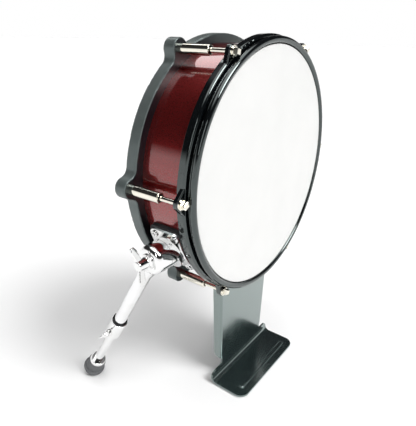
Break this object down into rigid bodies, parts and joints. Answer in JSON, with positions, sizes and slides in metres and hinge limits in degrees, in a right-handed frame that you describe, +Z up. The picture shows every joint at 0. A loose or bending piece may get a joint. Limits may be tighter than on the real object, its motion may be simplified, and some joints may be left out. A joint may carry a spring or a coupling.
{
  "type": "electronic kick drum pad",
  "caption": "Kick drum pad on a bent-steel pedal stand with folding telescopic spurs, a burgundy shell, a black rim and chrome tube lugs.",
  "frame": {"origin": "on the floor under the drum's axis, on the underside of the stand's rubber pad, 3.5 mm behind the playing surface", "axes": "+Z up; +Y from the batter head to the back, along the drum's axis; +X to the right as the player sees the head"},
  "size_m": [0.3892, 0.2207, 0.471],
  "materials": {
    "shell": "thin ply shell in a high-gloss metallic burgundy lacquer",
    "hoop_black": "pressed steel in gloss black enamel",
    "ring_black": "moulded black plastic with a soft satin gloss",
    "cover_black": "moulded black plastic, fine texture",
    "head_white": "white coated drum head with a soft sheen",
    "chrome": "bright chrome plating",
    "zinc_steel": "zinc-plated steel",
    "black_screw": "black oxide steel",
    "brass": "machined brass",
    "aluminium": "plain aluminium",
    "nylon_black": "black nylon",
    "rubber_black": "black rubber",
    "rubber_grey": "dark grey rubber",
    "foam": "dense grey foam",
    "stand_black": "sheet steel with a satin black powder coat"
  },
  "bodies": {
    "drum": {"shell": "shell", "rear_ring": "ring_black", "rear_cover": "cover_black", "cover_screws": "black_screw", "jack_plate": "zinc_steel", "output_jack": "zinc_steel", "sensor_crossbar": "zinc_steel", "crossbar_screws": "zinc_steel", "sensor_post": "aluminium", "isolation_ring": "rubber_black", "trigger_plate": "aluminium", "piezo_sensor": "brass", "foam_column": "foam", "head_skin": "head_white", "flesh_hoop": "aluminium", "batter_hoop": "hoop_black", "tube_lugs": "chrome", "lug_bushings": "nylon_black", "lug_inserts": "brass", "lug_screws": "zinc_steel", "rod_washers": "chrome", "pedal_stand": "stand_black", "stand_saddle": "stand_black", "saddle_pad": "rubber_black", "stand_screws": "black_screw", "stand_nuts": "zinc_steel", "base_pad": "rubber_black", "left_spur_gasket": "rubber_black", "left_spur_base": "chrome", "left_spur_base_screws": "chrome", "right_spur_gasket": "rubber_black", "right_spur_base": "chrome", "right_spur_base_screws": "chrome"},
    "tension_rod_1": {"tension_rod_1": "chrome"},
    "tension_rod_2": {"tension_rod_2": "chrome"},
    "tension_rod_3": {"tension_rod_3": "chrome"},
    "tension_rod_4": {"tension_rod_4": "chrome"},
    "tension_rod_5": {"tension_rod_5": "chrome"},
    "tension_rod_6": {"tension_rod_6": "chrome"},
    "left_leg": {"left_leg_head": "chrome", "left_leg_tube": "chrome", "left_tube_bushing": "nylon_black", "left_clamp_collar": "chrome"},
    "left_wing_bolt": {"left_wing_bolt": "chrome"},
    "left_lower_leg": {"left_inner_rod": "chrome", "left_foot_cup": "chrome", "left_rubber_foot": "rubber_grey"},
    "left_collar_screw": {"left_collar_screw": "chrome"},
    "right_leg": {"right_leg_head": "chrome", "right_leg_tube": "chrome", "right_tube_bushing": "nylon_black", "right_clamp_collar": "chrome"},
    "right_wing_bolt": {"right_wing_bolt": "chrome"},
    "right_lower_leg": {"right_inner_rod": "chrome", "right_foot_cup": "chrome", "right_rubber_foot": "rubber_grey"},
    "right_collar_screw": {"right_collar_screw": "chrome"}
  },
  "joints": [
    {"name": "rod_1_turn", "type": "hinge", "parent": "drum", "child": "tension_rod_1", "pos_m": [0.165, 0, 0.31], "axis": [0, 1, 0], "continuous": true},
    {"name": "rod_2_turn", "type": "hinge", "parent": "drum", "child": "tension_rod_2", "pos_m": [0.0825, 0, 0.45289], "axis": [0, 1, 0], "continuous": true},
    {"name": "rod_3_turn", "type": "hinge", "parent": "drum", "child": "tension_rod_3", "pos_m": [-0.0825, 0, 0.45289], "axis": [0, 1, 0], "continuous": true},
    {"name": "rod_4_turn", "type": "hinge", "parent": "drum", "child": "tension_rod_4", "pos_m": [-0.165, 0, 0.31], "axis": [0, 1, 0], "continuous": true},
    {"name": "rod_5_turn", "type": "hinge", "parent": "drum", "child": "tension_rod_5", "pos_m": [-0.0825, 0, 0.16711], "axis": [0, 1, 0], "continuous": true},
    {"name": "rod_6_turn", "type": "hinge", "parent": "drum", "child": "tension_rod_6", "pos_m": [0.0825, 0, 0.16711], "axis": [0, 1, 0], "continuous": true},
    {"name": "left_spur_swivel", "type": "hinge", "parent": "drum", "child": "left_leg", "pos_m": [-0.1535, 0.045, 0.23525], "axis": [1, 0, 0], "range_deg": [-25, 80]},
    {"name": "left_wing_bolt_turn", "type": "hinge", "parent": "drum", "child": "left_wing_bolt", "pos_m": [-0.1535, 0.045, 0.23525], "axis": [1, 0, 0], "continuous": true},
    {"name": "left_leg_slide", "type": "slide", "parent": "left_leg", "child": "left_lower_leg", "axis": [0, 0.4985, -0.8669], "range_m": [-0.05, 0.06]},
    {"name": "left_collar_screw_turn", "type": "hinge", "parent": "left_leg", "child": "left_collar_screw", "pos_m": [-0.164, 0.12227, 0.10088], "axis": [1, 0, 0], "continuous": true},
    {"name": "right_spur_swivel", "type": "hinge", "parent": "drum", "child": "right_leg", "pos_m": [0.1535, 0.045, 0.23525], "axis": [1, 0, 0], "range_deg": [-25, 80]},
    {"name": "right_wing_bolt_turn", "type": "hinge", "parent": "drum", "child": "right_wing_bolt", "pos_m": [0.1535, 0.045, 0.23525], "axis": [1, 0, 0], "continuous": true},
    {"name": "right_leg_slide", "type": "slide", "parent": "right_leg", "child": "right_lower_leg", "axis": [0, 0.4985, -0.8669], "range_m": [-0.05, 0.06]},
    {"name": "right_collar_screw_turn", "type": "hinge", "parent": "right_leg", "child": "right_collar_screw", "pos_m": [0.164, 0.12227, 0.10088], "axis": [1, 0, 0], "continuous": true}
  ]
}
